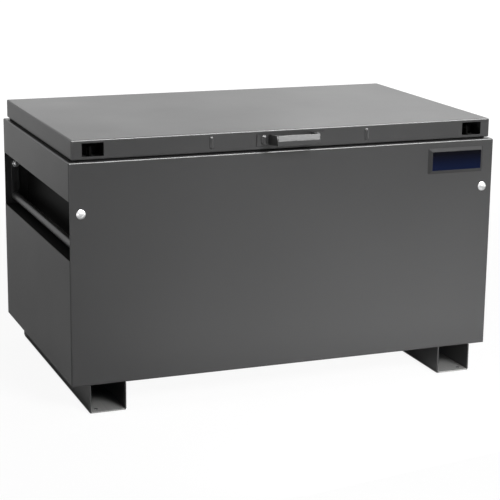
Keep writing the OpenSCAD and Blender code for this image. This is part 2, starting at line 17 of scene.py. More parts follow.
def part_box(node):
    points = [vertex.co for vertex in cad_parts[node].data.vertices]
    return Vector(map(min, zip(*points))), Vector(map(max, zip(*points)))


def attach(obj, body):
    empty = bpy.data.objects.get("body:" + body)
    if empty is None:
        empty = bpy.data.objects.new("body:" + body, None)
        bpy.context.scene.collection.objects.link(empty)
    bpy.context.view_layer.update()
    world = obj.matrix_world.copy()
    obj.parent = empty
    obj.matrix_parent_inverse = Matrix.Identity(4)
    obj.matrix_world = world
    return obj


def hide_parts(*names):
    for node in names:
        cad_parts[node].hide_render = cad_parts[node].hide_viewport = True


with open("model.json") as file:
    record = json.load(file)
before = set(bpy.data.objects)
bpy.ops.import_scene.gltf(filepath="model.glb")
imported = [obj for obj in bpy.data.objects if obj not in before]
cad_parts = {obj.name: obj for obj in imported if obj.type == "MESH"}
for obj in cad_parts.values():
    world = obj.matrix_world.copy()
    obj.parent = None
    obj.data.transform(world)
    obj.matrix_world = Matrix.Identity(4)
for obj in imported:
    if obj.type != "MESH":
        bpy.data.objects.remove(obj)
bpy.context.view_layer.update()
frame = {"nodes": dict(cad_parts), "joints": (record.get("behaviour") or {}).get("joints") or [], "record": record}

# %% [markdown]
# ## The camera
#
# A long lens from a few steps away keeps the chest's long edges nearly parallel. The camera is
# placed by two angles and a distance from a point that it aims at. The alternative, a tracking
# constraint, hides those numbers and would still need the small tilt about the line of sight.

# %% Camera
def aim_camera(azimuth, elevation, tilt, distance, aim, lens):
    """Stands the camera at aim + distance times the unit vector back towards it.

    That vector is (sin a cos e, -cos a cos e, sin e). The tilt turns the camera about it.
    """
    a, e = math.radians(azimuth), math.radians(elevation)
    back = Vector((math.sin(a) * math.cos(e), -math.cos(a) * math.cos(e), math.sin(e)))
    right = Vector((0, 0, 1)).cross(back).normalized()
    up = back.cross(right)
    turn = Matrix((right, up, back)).transposed() @ Matrix.Rotation(math.radians(tilt), 3, "Z")
    data = bpy.data.cameras.new("chest_camera")
    data.sensor_width, data.lens = 36.0, lens
    data.clip_start, data.clip_end = 0.1, 200.0
    camera = bpy.data.objects.new("chest_camera", data)
    camera.matrix_world = Matrix.Translation(Vector(aim) + back * distance) @ turn.to_4x4()
    bpy.context.scene.collection.objects.link(camera)
    bpy.context.scene.camera = camera
    return camera


camera = aim_camera(azimuth=-21.40, elevation=14.01, tilt=0.699, distance=4.655,
                    aim=(0.0299, 0.0017, 0.3091), lens=114.56)
print("camera stands at", [round(v, 3) for v in camera.location])

# %% [markdown]
# ## Writing shader maths as Python
#
# A finish is a tree of shader nodes. Linking nodes one by one buries the sum in bookkeeping, so
# a socket is wrapped in a small class whose +, - and * add the Math nodes. Then a mask reads
# like the formula it is.

# %% A socket that can be used in a sum
MASK_FROM, MASK_TO = 0.0008, 0.0002


class Wire:
    """One output of a node. Arithmetic on it adds Math nodes to the same tree."""

    def __init__(self, nodes, socket):
        self.nodes, self.socket = nodes, socket

    def math(self, operation, *values):
        return self.nodes.add("Math", {"operation": operation}, dict(enumerate(values)))

    def __add__(self, other):
        return self.math("ADD", self, other)

    def __sub__(self, other):
        return self.math("SUBTRACT", self, other)

    def __rsub__(self, other):
        return self.math("SUBTRACT", other, self)

    def __mul__(self, other):
        return self.math("MULTIPLY", self, other)

    __radd__, __rmul__ = __add__, __mul__

    def larger(self, other):
        return self.math("MAXIMUM", self, other)

    def size(self):
        """The number without its sign, so that one mask serves both ends of the chest."""
        return self.math("ABSOLUTE", self)

    def ramp(self, low, high):
        """0 below low, 1 above high, and a smooth rise between them."""
        return self.nodes.add("MapRange", {"interpolation_type": "SMOOTHSTEP", "clamp": True},
                              {"Value": self, "From Min": low, "From Max": high})

    def from_face(self, face):
        """1 from a face upwards, with a fade that ends just short of it."""
        return self.ramp(face - MASK_FROM, face - MASK_TO)

    def up_to_face(self, face):
        """1 up to a face, with a fade that starts just past it."""
        return self.ramp(face + MASK_FROM, face + MASK_TO)


print("a mask fades over", round((MASK_FROM - MASK_TO) * 1000, 2), "mm beside a face")


# %% A tree of nodes
class Tree:
    """The nodes of a material or of the world, with one method that adds any node."""

    def __init__(self, owner):
        self.owner = owner
        owner.use_nodes = True
        self.tree = owner.node_tree
        self.tree.nodes.clear()

    def add(self, kind, settings=None, values=None, out=0):
        """Adds a node. Its settings come first, then a number or a Wire for each socket."""
        node = self.tree.nodes.new("ShaderNode" + kind)
        for key, value in (settings or {}).items():
            setattr(node, key, value)
        for key, value in (values or {}).items():
            if isinstance(value, Wire):
                self.tree.links.new(value.socket, node.inputs[key])
            else:
                node.inputs[key].default_value = value
        return Wire(self, node.outputs[out]) if len(node.outputs) else None


# %% A finish
class Finish(Tree):
    """A material under construction. Its patterns are fixed to the piece, in metres."""

    def __init__(self, name):
        super().__init__(bpy.data.materials.new(name))
        self.place = self.add("TexCoord", out="Object")
        self.parts = {}

    def axis(self, letter):
        """The X, Y or Z coordinate of the point, in metres."""
        if not self.parts:
            split = self.add("SeparateXYZ", values={0: self.place}).socket.node
            self.parts = {k: Wire(self, split.outputs[k]) for k in "XYZ"}
        return self.parts[letter]

    def noise(self, scale, detail=2.0, roughness=0.5, at=None):
        """Cloudy noise from 0 to 1, with scale features to the metre."""
        return self.add("TexNoise", values={"Vector": at or self.place, "Scale": scale,
                                            "Detail": detail, "Roughness": roughness})

    def blend(self, share, low, high):
        """The colour low where share is 0 and high where it is 1."""
        mixed = self.add("Mix", {"data_type": "RGBA"}, {"Factor": share}, out="Result")
        node = mixed.socket.node
        for key, value in (("A", low), ("B", high)):
            socket = next(s for s in node.inputs if s.name == key and s.type == "RGBA")
            if isinstance(value, Wire):
                self.tree.links.new(value.socket, socket)
            else:
                socket.default_value = (*value, 1.0)
        return Wire(self, next(s for s in node.outputs if s.type == "RGBA"))

    def bump(self, height, depth, onto=None):
        """Tilts the surface as if height, from 0 to 1, stood depth metres tall."""
        values = {"Height": height, "Strength": 1.0, "Distance": depth}
        if onto:
            values["Normal"] = onto
        return self.add("Bump", values=values)

    def close(self, **values):
        """Ends the tree in one Principled shader with these socket values."""
        shader = self.add("BsdfPrincipled", values={k.replace("_", " "): v
                                                    for k, v in values.items()})
        self.add("OutputMaterial", values={"Surface": shader})
        return self.owner


print("shader helpers ready")

# %% [markdown]
# ## Powder coat
#
# The coat is a dark neutral grey. Close up it has the fine pebbling of fused powder, which blurs
# its reflections. Further off, a big panel is never quite flat, and slow waves a fraction of a
# millimetre tall bend what it reflects. Both are height fields, so they go through Bump nodes.
# An even grey with a roughness value would look like plastic.

# %% Powder coat
COAT_SHADE = (0.041, 0.041, 0.0415)
COAT_ROUGH, COAT_GLOSS = 0.25, 1.5
PEBBLE, WAVE = 0.00003, 0.0004


def coat_parts(f, shade, rough, wave=WAVE):
    """The colour, roughness and normal of a powder coat, for a finish f that may add to them.

    Colour = shade x (0.94 + 0.12 cloud + 0.10 (grain - 0.5)), then up to 6% of a paler fleck.
    Roughness = rough + 0.10 cloud. The pebbling is the grain, stood on top of the slow waves.
    The clouds are a third of a metre across, the grain 1 mm, and the flecks 4 mm apart.
    """
    cloud = f.noise(3.0, detail=3.0)
    grain = f.noise(900.0, detail=3.0, roughness=0.6)
    fleck = f.noise(260.0, detail=2.0).ramp(0.62, 0.75)
    tone = 0.94 + cloud * 0.12 + (grain - 0.5) * 0.10
    colour = f.blend(tone * 0.5, (0.0, 0.0, 0.0), [v * 2.0 for v in shade])
    colour = f.blend(fleck * 0.06, colour, [v * 2.2 for v in shade])
    slow = f.bump(f.noise(2.2, detail=1.0), wave)
    return colour, rough + cloud * 0.10, f.bump(grain, PEBBLE, onto=slow)


def powder_coat(name, shade, rough=COAT_ROUGH, gloss=COAT_GLOSS):
    """The plain coat. Its gloss is an index of refraction."""
    f = Finish(name)
    colour, dull, normal = coat_parts(f, shade, rough)
    return f.close(Base_Color=colour, Roughness=dull, Normal=normal, IOR=gloss)


coat = powder_coat("chest_paint", COAT_SHADE)
print(coat.name, "has", len(coat.node_tree.nodes), "nodes")

# %% [markdown]
# ## Skids with painted light at their mouths
#
# A forklift carries the chest with its forks inside the skids. Near each mouth the bottom
# plates are painted a pale grey that fades inwards in streaks: painted light, for the light
# that falls in through the mouths. One finish holds both colours, and a mask worked out from a
# point's place picks between them. Painting it by hand would need the skid unwrapped and a
# picture to paint on; the mask needs a few of the skid's sizes.

# %% Skids with painted light at their mouths
SKID_INSIDE = (0.4655, 0.5585)
SKID_PLATE, SKID_END, MOUTH_EDGE = 0.0035, 0.370, 0.005
HOLE_X, HOLE_Y, HOLE_RIM = 0.540, 0.348, 0.0056
PAINTED_LIGHT_GREY, PAINTED_LIGHT_REACH = (0.29, 0.29, 0.285), 0.22


def mouth_light_coat(name, shade, lit_grey, reach):
    """The coat, and a pale grey where plate x holes x mouth x streaks is high. The grey is
    painted light, for the light that falls in through a skid's mouth onto its plate.

    Plate is 1 between the skid's walls, up to the plate's top. Holes is 0 in a disc round each
    bolt hole. Mouth falls from 1 at the skid's end to 0 at reach inside it. Streaks is
    0.6 + 0.6 x a noise drawn out 25 times along the skid.
    """
    f = Finish(name)
    colour, dull, normal = coat_parts(f, shade, COAT_ROUGH)
    out, along = f.axis("X").size(), f.axis("Y").size()
    half = (SKID_INSIDE[1] - SKID_INSIDE[0]) / 2
    across = (out - (SKID_INSIDE[0] + SKID_INSIDE[1]) / 2).size()
    plate = f.axis("Z").up_to_face(SKID_PLATE) * across.ramp(half, half - 0.002)
    from_x, from_y = out - HOLE_X, along - HOLE_Y
    holes = (from_x * from_x + from_y * from_y).ramp(HOLE_RIM ** 2, HOLE_RIM ** 2 * 1.2)
    mouth = along.ramp(SKID_END - reach, SKID_END - MOUTH_EDGE)
    drawn = f.add("CombineXYZ", values={0: f.axis("X"), 1: f.axis("Y") * 0.04, 2: 0.0})
    streaks = 0.6 + f.noise(240.0, detail=3.0, at=drawn) * 0.6
    # The plates near each mouth are painted pale grey: painted light, for the light falling in there.
    painted_light = plate * holes * mouth * streaks
    return f.close(Base_Color=f.blend(painted_light, colour, lit_grey), Normal=normal,
                   Roughness=dull + painted_light * 0.2)


# The skid finish paints light onto the plates, strongest at each mouth.
skid_coat_painted_light = mouth_light_coat("skid_paint", COAT_SHADE, PAINTED_LIGHT_GREY, PAINTED_LIGHT_REACH)
print(skid_coat_painted_light.name, "is scraped for", PAINTED_LIGHT_REACH, "m in from each mouth")

# %% [markdown]
# ## Painted shade in the lift recesses
#
# Inside each end recess the pan is painted near-black, far darker than the coat: painted shade
# for the shade deep in the recess. The same sheet is plain grey on its hidden side. Two
# materials on one pan would need its faces sorted into inner and outer ones. A mask does that
# by place: it is 1 on the faces that line the recess, which lie past the pan's wall and between
# its floor and its roof.

# %% Recess with painted shade
PAN_WALL, PAN_FLOOR, PAN_ROOF = 0.530, 0.416, 0.572
# Painted shade: the near-black on the faces that line the recesses, which lie deep in shade.
RECESS_PAINTED_SHADE = (0.006, 0.006, 0.006)
DULL_COAT, DULL_GLOSS = 0.40, 1.12


def recess_finish(name, shade, painted_shade_tone):
    """A dull coat, and a near-black painted shade where wall x floor x roof is 1."""
    f = Finish(name)
    colour, dull, normal = coat_parts(f, shade, DULL_COAT)
    painted_shade_mask = (f.axis("X").size().from_face(PAN_WALL) * f.axis("Z").from_face(PAN_FLOOR)
              * f.axis("Z").up_to_face(PAN_ROOF))
    return f.close(Base_Color=f.blend(painted_shade_mask, colour, painted_shade_tone), Roughness=dull,
                   Normal=normal, IOR=DULL_GLOSS)


recess_coat = recess_finish("recess_paint", COAT_SHADE, RECESS_PAINTED_SHADE)
print(recess_coat.name, "is black for", round(PAN_ROOF - PAN_FLOOR, 3), "m of height")

# %% [markdown]
# ## Metals
#
# Bolts and brackets are zinc plated: a pale metal, a little cloudy where the bath left crystals.
# The struts' rods are hard chrome, so they mirror the room in thin lines. With one even
# roughness both would look like the same mirror, so each has a noise of its own scale.

# %% Zinc and chrome
def zinc_plate():
    """A pale metal with smears in its colour and crystals in its roughness and height."""
    f = Finish("zinc_plate")
    crystal = f.noise(420.0, detail=3.0)
    smear = f.noise(60.0, detail=2.0)
    colour = f.blend(smear, (0.90, 0.90, 0.91), (0.97, 0.97, 0.96))
    return f.close(Base_Color=colour, Metallic=1.0, Roughness=0.24 + crystal * 0.16,
                   Normal=f.bump(crystal, 0.00001))


def polished_rod():
    """Hard chrome, with hair lines in its colour and roughness."""
    f = Finish("rod_chrome")
    hair = f.noise(700.0, detail=2.0)
    return f.close(Base_Color=f.blend(hair, (0.62, 0.62, 0.64), (0.72, 0.72, 0.74)),
                   Metallic=1.0, Roughness=0.08 + hair * 0.06)


zinc = zinc_plate()
chrome = polished_rod()
print("metals:", zinc.name, chrome.name)

# %% [markdown]
# ## Rubber, plastic and enamel
#
# Seals, washers and strut tubes are all black, and differ by how they shine: rubber is dull,
# moulded nylon is satin, and enamel is smooth. So one function makes all three, with a grain of
# its own scale and height for each.

# %% Rubber, nylon and enamel
def soft_black(name, shade, rough, grain_scale, depth, gloss=COAT_GLOSS):
    """Colour from 0.8 to 1.3 x shade with the grain, roughness = rough + 0.15 (grain - 0.5)."""
    f = Finish(name)
    grain = f.noise(grain_scale, detail=3.0)
    colour = f.blend(grain, [v * 0.8 for v in shade], [v * 1.3 for v in shade])
    return f.close(Base_Color=colour, Roughness=rough + (grain - 0.5) * 0.15,
                   Normal=f.bump(grain, depth), IOR=gloss)


# Black rubber, made darker still than rubber is: painted shade, so the gap under the lid reads as shadow.
rubber_with_painted_shade = soft_black("seal_rubber", (0.006, 0.006, 0.006), 0.75, 800.0, 0.00002, gloss=1.3)
nylon = soft_black("nylon", (0.025, 0.025, 0.026), 0.45, 500.0, 0.00001)
strut_enamel = soft_black("strut_enamel", (0.012, 0.012, 0.013), 0.24, 300.0, 0.000005)
print("blacks:", rubber_with_painted_shade.name, nylon.name, strut_enamel.name)

# %% [markdown]
# ## The badge's finish
#
# The badge is one pressed panel with two finishes: the chest's coat on its sloping border, and a
# smooth blue-black enamel on its face, a little bluer towards the lower edge. The face carries no
# lettering. A mask worked out from how far a point lies from the badge's middle picks between
# them, so the border between the finishes follows the metal.

# %% Badge finish
BADGE_SLOPE, BADGE_EDGE, BADGE_RELIEF = 0.009, 0.001, 0.0007
ENAMEL_TOP, ENAMEL_FOOT = (0.001, 0.001, 0.003), (0.002, 0.005, 0.022)
BORDER_ROUGH, ENAMEL_ROUGH, BADGE_GLOSS = 0.50, 0.22, 1.18


def badge_finish(low, high, border, fade=0.0002):
    """The mask is 1 where |x - middle| and |z - middle| are both inside the sloping border."""
    f = Finish("badge_enamel")
    across = (f.axis("X") - (low.x + high.x) / 2).size()
    up = (f.axis("Z") - (low.z + high.z) / 2).size()
    inside = (((high.x - low.x) / 2 - border - across).ramp(-fade, fade)
              * ((high.z - low.z) / 2 - border - up).ramp(-fade, fade))
    lift = f.axis("Z").ramp(high.z - border, low.z + border)
    enamel = f.blend(lift, ENAMEL_TOP, ENAMEL_FOOT)
    colour, dull, normal = coat_parts(f, COAT_SHADE, BORDER_ROUGH, wave=0.0)
    return f.close(Base_Color=f.blend(inside, colour, enamel), IOR=BADGE_GLOSS,
                   Roughness=dull + inside * (ENAMEL_ROUGH - dull), Normal=normal)


badge_low, badge_high = (Vector(c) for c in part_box("badge_plate"))
badge_enamel = badge_finish(badge_low, badge_high, BADGE_SLOPE + BADGE_EDGE)
print("badge from", [round(v, 4) for v in badge_low], "to", [round(v, 4) for v in badge_high])

# %% [markdown]
# ## Every solid gets the finish of its slot
#
# The frame's record names a finish for every solid, so one dictionary dresses them all. Pieces
# that are made further down take the same finishes.

# %% Finish every solid
FINISHES = {"chest_paint": coat, "recess_paint": recess_coat, "zinc_plate": zinc,
            "rod_chrome": chrome, "seal_rubber": rubber_with_painted_shade, "nylon": nylon,
            "strut_enamel": strut_enamel, "badge_enamel": badge_enamel}
SLOT_OF = {s["node"]: s["material_slot"] for s in frame["record"]["subparts"]}
BODY_OF = {node: body for body, nodes in frame["record"]["behaviour"]["bodies"].items()
           for node in nodes}
for node, solid in frame["nodes"].items():
    solid.data.materials.clear()
    solid.data.materials.append(FINISHES[SLOT_OF[node]])
print(len(SLOT_OF), "solids finished")

# %% [markdown]
# ## Finer pieces as grids of points
#
# A plain solid is enough for a flat panel. A seal, a thread or a weld needs a surface of its own.
# Each one is a formula of two numbers, a row and a column, worked out for the whole grid at once.
# Modelling them by hand would hide the sizes; a formula shows them and can be changed.

# %% A skin over a grid of points
def skin(points, closed=False):
    """The vertices and faces of a closed skin over a grid, shape (rows, columns, 3).

    Columns run round each row and join up. Where closed is true the rows join up too, as on a
    ring; otherwise one flat face closes the first row and one the last. The skin's volume, the
    sum over its faces of corner . (next corner x opposite corner), is negative where they point
    inwards, and they are then turned round.
    """
    rows, columns = points.shape[:2]
    row = np.arange(rows if closed else rows - 1)[:, None]
    column = np.arange(columns)[None, :]
    next_row, next_column = (row + 1) % rows, (column + 1) % columns
    quads = np.stack(np.broadcast_arrays(
        row * columns + column, row * columns + next_column,
        next_row * columns + next_column, next_row * columns + column), -1).reshape(-1, 4)
    flat = points.reshape(-1, 3)
    a, b, c, d = ((flat - flat.mean(0))[quads[:, k]] for k in range(4))
    volume = np.sum(a * np.cross(b, c)) + np.sum(a * np.cross(c, d))
    ends = [] if closed else [np.arange(columns)[::-1], np.arange(columns) + (rows - 1) * columns]
    faces = list(quads) + ends
    return flat, [face[::-1] for face in faces] if volume < 0 else faces


prism = np.array([[(1, 0, h), (0, 1, h), (-1, -1, h)] for h in (0.0, 1.0)])
print("a grid of 2 rows and 3 columns is a prism with", len(skin(prism)[1]), "faces")


# %% A piece from one or more skins
def piece(name, skins, slot, body, stands_for=(), crease=35.0, finish=None):
    """Joins skins into one mesh, finished by slot, on its body, in place of the plain solids.

    The mesh is smooth but for edges that turn by more than the crease, in degrees.
    """
    starts = np.cumsum([0] + [len(points) for points, _ in skins])
    faces = [(face + start).tolist() for (_, loops), start in zip(skins, starts)
             for face in loops]
    mesh = bpy.data.meshes.new(name)
    mesh.from_pydata(np.concatenate([points for points, _ in skins]).tolist(), [], faces)
    mesh.polygons.foreach_set("use_smooth", np.ones(len(faces), bool))
    mesh.set_sharp_from_angle(angle=math.radians(crease))
    mesh.materials.append(finish or FINISHES[slot])
    made = bpy.data.objects.new(name, mesh)
    bpy.context.scene.collection.objects.link(made)
    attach(made, body)
    if stands_for:
        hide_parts(*stands_for)
    print(name, "has", len(faces), "faces")
    return made


# %% A profile turned round an axis
def turned(profile, centre, along, columns=40, closed=False):
    """Row i is a circle of radius r_i round the axis, h_i along it from the centre."""
    radius, height = np.array(profile, float).T[:, :, None]
    along = Vector(along).normalized()
    side = along.orthogonal().normalized()
    angle = np.linspace(0.0, 2 * math.pi, columns, endpoint=False)[None, :]
    ring = (np.cos(angle)[..., None] * np.array(side)
            + np.sin(angle)[..., None] * np.array(along.cross(side)))
    grid = (np.array(centre) + height[..., None] * np.array(along)
            + radius[..., None] * ring)
    return skin(grid, closed)


def rounded(radius, height, turn, at, steps=6):
    """A quarter-round edge of a profile: radius and height centres plus turn times (cos, sin)."""
    t = np.linspace(at[0], at[1], steps)
    return list(zip(radius + turn * np.cos(t), height + turn * np.sin(t)))


bar = turned([(1, 0), (1, 1)], centre=(0, 0, 0), along=(0, 0, 1))
print("a turned bar has", len(bar[1]), "faces")

# %% [markdown]
# ## The rim seal
#
# The real seal is one hollow bulb on a flat base, glued round the rim with its ends butted at the
# back. The plain solid is four straight strips. Here one bulb section is carried round a
# rectangle with round corners, so it bends at each corner as a pushed-on strip does.

# %% A path round a rectangle
def loop_path(low, high, inset, radius, steps=10):
    """Points and outward directions of a rectangle with round corners, in the XY plane.

    Corner k is an arc about its own centre from angle 90 k to 90 (k + 1) degrees.
    """
    corner = np.array([[1, 1], [-1, 1], [-1, -1], [1, -1]], float)
    middle = (np.array(low[:2]) + np.array(high[:2])) / 2
    half = (np.array(high[:2]) - np.array(low[:2])) / 2 - inset
    angle = (np.arange(4)[:, None] + np.linspace(0, 1, steps)[None, :]) * math.pi / 2
    outward = np.stack([np.cos(angle), np.sin(angle)], -1)
    points = middle + (corner * (half - radius))[:, None, :] + radius * outward
    return points.reshape(-1, 2), outward.reshape(-1, 2)


print("a loop has", len(loop_path((0, 0), (1, 1), 0.0, 0.1)[0]), "points")


# %% Rim seal
SEAL_W, SEAL_BEND, SEAL_LIP = 0.012, 0.020, 0.0010


def seal_section(width, height, steps=14):
    """A bulb on a flat base, from side to side: the base's corner and lip, a half ellipse 0.8 as
    wide as the base, and the other lip and corner."""
    t = np.linspace(0.0, math.pi, steps)
    bulb = np.stack([0.40 * width * np.cos(t), SEAL_LIP + (height - SEAL_LIP) * np.sin(t)], -1)
    edge, lip = 0.5 * width, 0.8 * SEAL_LIP
    return np.concatenate([[[edge, 0.0], [edge, lip]], bulb, [[-edge, lip], [-edge, 0.0]]])


seal_low, seal_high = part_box("lid_seal")
path, outward = loop_path(seal_low, seal_high, SEAL_W / 2, SEAL_BEND)
section = seal_section(SEAL_W, seal_high[2] - seal_low[2])
seal = np.empty((len(path), len(section), 3))
seal[..., :2] = path[:, None, :] + outward[:, None, :] * section[None, :, :1]
seal[..., 2] = seal_low[2] + section[None, :, 1]
rim_seal = piece("rim_seal", [skin(seal, closed=True)], "seal_rubber", "chest", ["lid_seal"])

# %% [markdown]
# ## Pivot bolts and nuts
#
# Each lift handle turns on two bolts. Outside, all that shows is a low polished dome with a small
# flat rim. Inside the recess a hexagon nut with chamfered corners is run up a rolled thread. The
# thread's radius is a wave along the shank that slips by one pitch in each turn, so it climbs.
# A Screw modifier could wind it, but would leave its two ends open. The bolts' centres come from
# the handle's joint, because the arms turn about them with only 0.05 mm to spare.

# %% Sizes of the pivot bolts
JOINTS = {joint["name"]: joint for joint in frame["joints"]}
PIVOT_X, _, PIVOT_Z = JOINTS["right_handle_swing"]["pos_m"]
bolt_low, bolt_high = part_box("pivot_bolts")
nut_low, nut_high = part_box("pivot_nuts")
face_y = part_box("front_panel")[0][1]
HEAD_R, HEAD_H, HEAD_RIM = bolt_high[0] - PIVOT_X, face_y - bolt_low[1], 0.0010
SHANK_R, PITCH, RIDGE = 0.006, 0.00175, 0.0010
NUT_START, NUT_T, BOLT_PAST, THREAD_FREE = nut_low[1] - face_y, 0.010, 0.002, 0.001
THREAD_START = NUT_START - THREAD_FREE
PIVOTS = [(side * PIVOT_X, end * face_y, end) for side in (-1, 1) for end in (1, -1)]
print("bolt heads are", round(HEAD_R * 2000, 1), "mm wide and", round(HEAD_H * 1000, 1), "tall")


# %% Pivot bolts
def bolt_profile():
    """Dome: an arc through the rim's edge. Rim: a 1 mm flat band. Then the plain shank.

    The arc starts 0.04 rad from its pole, and one small flat face closes it there.
    """
    dome_r = (HEAD_R ** 2 + (HEAD_H - HEAD_RIM) ** 2) / (2 * (HEAD_H - HEAD_RIM))
    reach = math.asin(HEAD_R / dome_r)
    t = np.linspace(0.04, reach, 14)
    dome = list(zip(dome_r * np.sin(t), dome_r - HEAD_H - dome_r * np.cos(t)))
    return dome + [(HEAD_R, -HEAD_RIM), (HEAD_R - 0.0002, 0.0), (SHANK_R, 0.0),
                   (SHANK_R, THREAD_START)]


def thread(x, y, end, columns=36, per_turn=10, tip=0.0012):
    """Radius = shank - ridge x a triangle wave of (depth / pitch - angle), less at the tip."""
    length = NUT_T + BOLT_PAST + THREAD_FREE
    rows = int(per_turn * length / PITCH)
    depth = np.linspace(THREAD_START, THREAD_START + length, rows)[:, None]
    angle = np.linspace(0, 2 * math.pi, columns, endpoint=False)[None, :]
    wave = np.abs(((depth / PITCH - angle / (2 * math.pi)) % 1.0) * 2 - 1)
    taper = np.clip((THREAD_START + length - depth) / tip, 0.0, 1.0)
    radius = SHANK_R - RIDGE * wave * (depth > THREAD_START) - tip * (1 - taper)
    grid = np.stack([x + radius * np.cos(angle), y + end * (depth + 0 * angle),
                     PIVOT_Z + radius * np.sin(angle)], -1)
    return skin(grid)


bolts = [turned(bolt_profile(), (x, y, PIVOT_Z), (0, end, 0)) for x, y, end in PIVOTS]
threads = [thread(x, y, end) for x, y, end in PIVOTS]
piece("dome_bolts", bolts + threads, "zinc_plate", "chest", ["pivot_bolts"])


# %% Pivot nuts
CHAMFER_STEPS, CROWN, THREAD_GAP = (0.0004, 0.0008, 0.0014), 0.97, 0.00005


def nut(x, y, end, columns=72):
    """Radius = the hexagon's flat / cos(angle to the nearest flat), cut by a 30 degree cone.

    The cone leaves a round crown on each end, 0.97 as wide as the nut is across its flats.
    """
    flat, bore = (nut_high[2] - nut_low[2]) / 2, SHANK_R + THREAD_GAP
    angle = np.linspace(0, 2 * math.pi, columns, endpoint=False)[None, :]
    from_flat = angle % (math.pi / 3) - math.pi / 6
    hexagon = flat / np.cos(from_flat + 0 * angle)
    inner = np.full_like(hexagon, bore)
    depths = np.array([0, 0, *CHAMFER_STEPS, *(NUT_T - step for step in CHAMFER_STEPS[::-1]),
                       NUT_T, NUT_T])[:, None]
    cone = flat * CROWN + np.minimum(depths, NUT_T - depths) * math.tan(math.radians(60))
    outer = np.minimum(hexagon, cone)
    outer[0], outer[-1] = inner, inner
    grid = np.stack([x + outer * np.cos(angle), y + end * (NUT_START + depths) + 0 * angle,
                     PIVOT_Z + outer * np.sin(angle)], -1)
    return skin(grid, closed=True)


piece("hexagon_nuts", [nut(*pivot) for pivot in PIVOTS], "zinc_plate", "chest", ["pivot_nuts"],
      crease=20.0)

# %% [markdown]
# ## Badge panel
#
# The badge is pressed from sheet: sloping sides, soft corners, and a face let in by less than a
# millimetre. A box with bevelled edges would give one slope and sharp corners. Here each row of
# the grid is a rounded rectangle, smaller and further out than the last.

# %% Badge panel
def badge_rows():
    """Pairs of inset from the outline and height above the panel, from the foot to the face."""
    top = face_y - badge_low.y
    s, e, r = BADGE_SLOPE, BADGE_EDGE, BADGE_RELIEF
    return [(0.0, 0.0), (0.0, 0.0003), (s * 0.10, top * 0.09), (s * 0.88, top * 0.90),
            (s * 0.96, top * 0.975), (s * 1.03, top), (s + e * 0.8, top),
            (s + e * 1.0, top - r * 0.3), (s + e * 1.2, top - r), (s + e * 2.5, top - r)]


def badge_panel(radius=0.004):
    """Row i is the outline moved inwards by inset i, at height i in front of the panel.

    Up to 0.9 radius the round corners shrink by the inset. What is left of it moves each corner
    straight towards the middle in x and in z, so a row never folds over itself.
    """
    rows = badge_rows()
    low, high = (badge_low.x, badge_low.z), (badge_high.x, badge_high.z)
    outline, outward = loop_path(low, high, 0.0, radius, steps=6)
    grid = np.empty((len(rows), len(outline), 3))
    inset, out = np.array(rows).T
    flat = outline[None] - outward[None] * np.minimum(inset, radius * 0.9)[:, None, None]
    middle = (np.array(low) + np.array(high)) / 2
    extra = np.maximum(inset - radius * 0.9, 0.0)[:, None, None]
    flat = flat - np.sign(flat - middle) * extra
    grid[..., 0], grid[..., 2] = flat[..., 0], flat[..., 1]
    grid[..., 1] = face_y - out[:, None]
    return skin(grid)


piece("badge_panel", [badge_panel()], "badge_enamel", "chest", ["badge_plate"], crease=25.0)

# %% [markdown]
# ## Gas struts
#
# Each strut is a painted tube rolled in at its ends, a hard chrome rod that slides out of it, and
# a forged eye on a shank at either end. Plain cylinders would have flat ends and hard rims. The
# tube and rod are turned profiles instead, along the line that the frame gives: the strut's
# pivot, and the direction in which its rod slides.

# %% Sizes of the gas struts
STRUT_R, STRUT_WALL, TUBE_L = 0.009, 0.0015, 0.225
ROD_R, ROD_GAP, PISTON_AT, END_WALL = 0.004, 0.00006, 0.040, 0.008
ROLL, GROOVE_AT, GROOVE_W, GROOVE_DEEP = 0.003, 0.013, 0.0012, 0.0006
EYE_R, EYE_T, EYE_BORE, EYE_EDGE = 0.009, 0.010, 0.00405, 0.0008
EYE_SHANK_R, SHANK_SUNK, SHANK_L = 0.006, 0.002, 0.015
TUBE_START = EYE_R + SHANK_L
SIDES = ("left", "right")
print("a strut's tube ends", round(TUBE_START + TUBE_L, 3), "m from its foot")


# %% Profiles of a strut
def tube_profile():
    """A closed ring of (radius, distance): the outside with two rolls and a groove, then the
    bore back again. The groove dips by half of 1 + cos, over one turn of the cosine."""
    a, b, half = TUBE_START, TUBE_START + TUBE_L, math.pi / 2
    groove = GROOVE_AT + GROOVE_W * np.linspace(-1, 1, 7)
    dip = STRUT_R - GROOVE_DEEP * (0.5 + 0.5 * np.cos(np.linspace(-math.pi, math.pi, 7)))
    rod_hole, bore = ROD_R + ROD_GAP, STRUT_R - STRUT_WALL
    return ([(rod_hole, a + END_WALL), (0.0015, a + END_WALL), (0.0015, a)]
            + rounded(STRUT_R - ROLL, a + ROLL, ROLL, (-half, 0.0))
            + list(zip(dip, b - groove[::-1]))
            + rounded(STRUT_R - ROLL, b - ROLL, ROLL, (0.0, half))
            + [(ROD_R + 0.0006, b), (rod_hole, b - 0.0006), (rod_hole, b - END_WALL),
               (bore, b - END_WALL), (bore, a + END_WALL)])


def eye(centre, pin):
    """A ring about the pin's axis with softened rims."""
    h, soft = EYE_T / 2, EYE_EDGE
    return turned([(EYE_BORE, -h), (EYE_R - soft, -h), (EYE_R, soft - h), (EYE_R, h - soft),
                   (EYE_R - soft, h), (EYE_BORE, h)], centre, pin, closed=True)


def shank(centre, along, step=0.001):
    """A round bar from inside the eye, which steps down to its thread 2 mm before its end."""
    start, end = EYE_R - SHANK_SUNK, TUBE_START
    return turned([(EYE_SHANK_R, start), (EYE_SHANK_R, end - 2 * step),
                   (EYE_SHANK_R - step, end - step), (EYE_SHANK_R - step, end)], centre, along)


